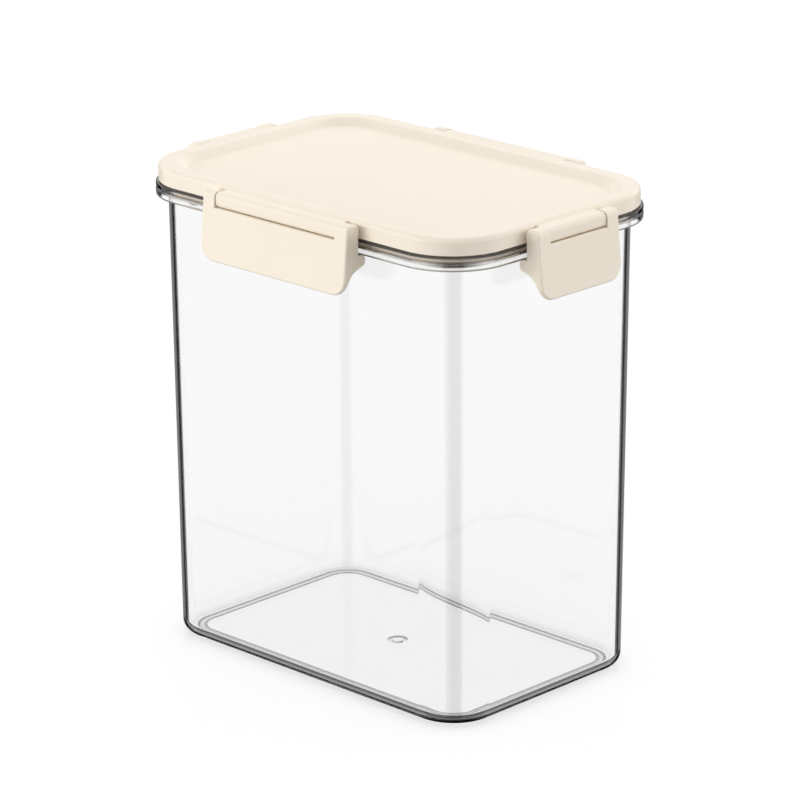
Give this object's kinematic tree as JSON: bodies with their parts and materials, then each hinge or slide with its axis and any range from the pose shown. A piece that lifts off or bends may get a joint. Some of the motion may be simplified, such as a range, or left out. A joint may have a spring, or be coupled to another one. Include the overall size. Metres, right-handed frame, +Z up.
{
  "type": "food canister",
  "caption": "Tall clear rectangular food canister with rounded corners and a cream lid, held down on its seal by hinged latches along the sides.",
  "frame": {"origin": "centre of the underside, on the surface that the canister stands on", "axes": "+X along the long side, towards the narrow latch on the right; -Y towards the wide front latch; +Z up"},
  "size_m": [0.179, 0.1266, 0.181],
  "materials": {
    "clear_plastic": "clear, polished moulding",
    "cream_plastic": "satin, fine-grained moulding",
    "silicone": "soft, milky"
  },
  "bodies": {
    "canister": {"canister_body": "clear_plastic"},
    "lid": {"lid": "cream_plastic", "seal_gasket": "silicone"},
    "latch_front": {"latch_front": "cream_plastic"},
    "latch_back": {"latch_back": "cream_plastic"},
    "latch_left": {"latch_left": "cream_plastic"},
    "latch_right": {"latch_right": "cream_plastic"}
  },
  "joints": [
    {"name": "lid_lift", "type": "slide", "parent": "canister", "child": "lid", "axis": [0, 0, 1], "range_m": [0, 0.15]},
    {"name": "front_latch_hinge", "type": "hinge", "parent": "lid", "child": "latch_front", "pos_m": [0, -0.058, 0.1773], "axis": [-1, 0, 0], "range_deg": [0, 170]},
    {"name": "back_latch_hinge", "type": "hinge", "parent": "lid", "child": "latch_back", "pos_m": [0, 0.058, 0.1773], "axis": [1, 0, 0], "range_deg": [0, 170]},
    {"name": "left_latch_hinge", "type": "hinge", "parent": "lid", "child": "latch_left", "pos_m": [-0.0842, 0, 0.1773], "axis": [0, 1, 0], "range_deg": [0, 170]},
    {"name": "right_latch_hinge", "type": "hinge", "parent": "lid", "child": "latch_right", "pos_m": [0.0842, 0, 0.1773], "axis": [0, -1, 0], "range_deg": [0, 170]}
  ]
}
